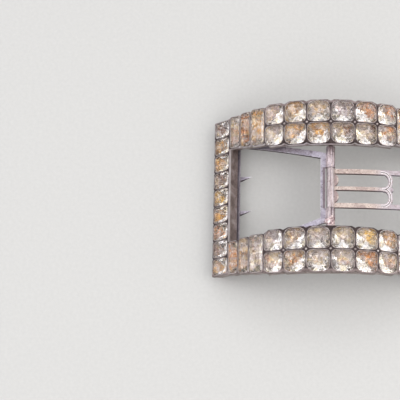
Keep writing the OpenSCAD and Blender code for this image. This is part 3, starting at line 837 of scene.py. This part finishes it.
def collet_grains(material):
    """A grain in the gap between each four cushions that meet."""
    grains = bmesh.new()
    for rail in ("near", "far"):
        for n in range(1, CUSHIONS_IN_ROW):
            four = [middle_of(f"cushion_{rail}_{row}_{n + k}") for row in ("inner", "outer") for k in (0, 1)]
            centre = sum(four, Vector()) / len(four)
            grain(grains, outward(centre) * BOW_R + Vector((0, centre.y, AXIS_Z)))
    silver_piece("collet_grains", grains, material)


def foil_row(name, index):
    """How the foil of one of a node's stones has aged."""
    if name in FOILS:
        return dict(zip(FOIL_COLUMNS, FOILS[name]))
    return {
        "clean": END_CLEAN[index % len(END_CLEAN)],
        "stain": END_STAINS[index % len(END_STAINS)],
        "towards_x": END_OFF_CENTRE * math.cos(END_TURN * index),
        "towards_y": END_OFF_CENTRE * math.sin(END_TURN * index),
        "reach": END_REACH,
    }


def age_foil(verts, layers, row):
    """Write one stone's colours, and the centre and reach of its stain, to the corners of its foil."""
    low = Vector(min(v.co[i] for v in verts) for i in range(3))
    high = Vector(max(v.co[i] for v in verts) for i in range(3))
    half = (high - low) / 2
    centre = (low + high) / 2 + Vector((row["towards_x"] * half.x, row["towards_y"] * half.y, 0))
    for v in verts:
        v[layers["clean"]] = (*PALETTE[row["clean"]], 1.0)
        v[layers["stain"]] = (*PALETTE[row["stain"]], 1.0)
        v[layers["centre"]] = centre
        v[layers["reach"]] = row["reach"] * STAIN_SPREAD * MM


def foil_behind(name, material):
    """A foil cup behind each stone of a node: the faces under its crown, moved a hair outwards."""
    mesh = welded(name)
    layers = {
        "clean": mesh.verts.layers.float_color.new("clean"),
        "stain": mesh.verts.layers.float_color.new("stain"),
        "centre": mesh.verts.layers.float_vector.new("centre"),
        "reach": mesh.verts.layers.float.new("reach"),
    }
    stones = sorted(islands(mesh), key=lambda faces: min(v.co.y for face in faces for v in face.verts))
    for index, faces in enumerate(stones):
        age_foil({v for face in faces for v in face.verts}, layers, foil_row(name, index))
    bmesh.ops.delete(mesh, geom=[face for face in mesh.faces if in_crown(face)], context="FACES")
    mesh.normal_update()
    for v in mesh.verts:
        v.co += v.normal * FOIL_GAP
    foil = new_piece("foil_" + name, mesh, material)
    shell = foil.modifiers.new("thickness", "SOLIDIFY")
    shell.thickness = FOIL_THICKNESS
    shell.offset = 1.0


def soften(obj, width):
    """Round the sharp edges of a CAD solid, as wear does."""
    join = obj.modifiers.new("join", "WELD")
    join.merge_threshold = WELD
    bevel = obj.modifiers.new("worn_edges", "BEVEL")
    bevel.width = width
    bevel.segments = BEVEL_SEGMENTS
    bevel.limit_method = "ANGLE"
    bevel.angle_limit = BEVEL_ANGLE
    bevel.use_clamp_overlap = True


def make_camera():
    """The photograph's camera, from the way it looks and from where the target falls in the picture."""
    forward = Vector((math.cos(CAM_ELEVATION) * math.sin(CAM_AZIMUTH),
                      math.cos(CAM_ELEVATION) * math.cos(CAM_AZIMUTH),
                      -math.sin(CAM_ELEVATION)))
    level_right = forward.cross(Vector((0, 0, 1))).normalized()
    level_up = level_right.cross(forward)
    right = math.cos(CAM_ROLL) * level_right + math.sin(CAM_ROLL) * level_up
    up = math.cos(CAM_ROLL) * level_up - math.sin(CAM_ROLL) * level_right
    middle_px = PHOTO_SIDE_PX / 2
    aside = (TARGET_PX[0] - middle_px) / PX_PER_MM * MM
    above = (middle_px - TARGET_PX[1]) / PX_PER_MM * MM
    place = TARGET - aside * right - above * up - CAM_DISTANCE * forward
    data = bpy.data.cameras.new("camera")
    data.sensor_width = SENSOR_MM
    data.lens = SENSOR_MM * PX_PER_MM * (CAM_DISTANCE / MM) / PHOTO_SIDE_PX
    data.clip_start, data.clip_end = CAM_CLIP
    camera = in_scene("camera", data)
    turn = Matrix((right, up, -forward)).transposed().to_4x4()
    camera.matrix_world = Matrix.Translation(place) @ turn
    bpy.context.scene.camera = camera


def softbox(name, place, size, power, colour):
    """A rectangular softbox that faces the buckle."""
    data = bpy.data.lights.new(name, "AREA")
    data.shape = "RECTANGLE"
    data.size, data.size_y = size
    data.energy = power
    data.color = colour
    light = in_scene(name, data)
    light.location = place
    light.rotation_euler = (SOFTBOX_AIM - light.location).to_track_quat("-Z", "Y").to_euler()


def make_world():
    """A surround of pale and dark bands, which the stones mirror."""
    world = bpy.data.worlds.new("studio")
    bpy.context.scene.world = world
    sky = Shading(world)
    height = sky.node("ShaderNodeSeparateXYZ", {"Vector": sky.coordinate["Generated"]}).outputs["Z"]
    background = sky.tree.nodes["Background"]
    bands = sky.ramp(height, [(level, (grey, grey, grey)) for level, grey in SURROUND])
    sky.give(background.inputs["Color"], bands)
    background.inputs["Strength"].default_value = 1.0


def make_floor():
    """The board that the buckle lies on."""
    data = bpy.data.meshes.new("floor")
    corners = [(x * FLOOR_HALF, y * FLOOR_HALF, 0) for x, y in ((-1, -1), (1, -1), (1, 1), (-1, 1))]
    data.from_pydata(corners, [], [(0, 1, 2, 3)])
    floor = in_scene("floor", data)
    use_material(floor, floor_material())


METAL_MAKERS = {
    "setting": silver_material,
    "spindle": spindle_material,
    "chape": chape_material,
    "tongue": tongue_material,
}
STONES = sorted(name for name in NODES if name not in METAL_MAKERS)

bpy.context.scene.view_settings.view_transform = "Standard"

for node_name, make_material in METAL_MAKERS.items():
    use_material(NODES[node_name], make_material())
for node_name, width in BEVELS.items():
    soften(NODES[node_name], width)

paste = paste_material()
foil_metal = foil_material()
for stone_name in STONES:
    use_material(NODES[stone_name], paste)
    foil_behind(stone_name, foil_metal)

burnished = burnished_material()
collet_lips(burnished)
collet_grains(burnished)

make_camera()
make_floor()
make_world()
for box_name, settings in SOFTBOXES.items():
    softbox(box_name, *settings)
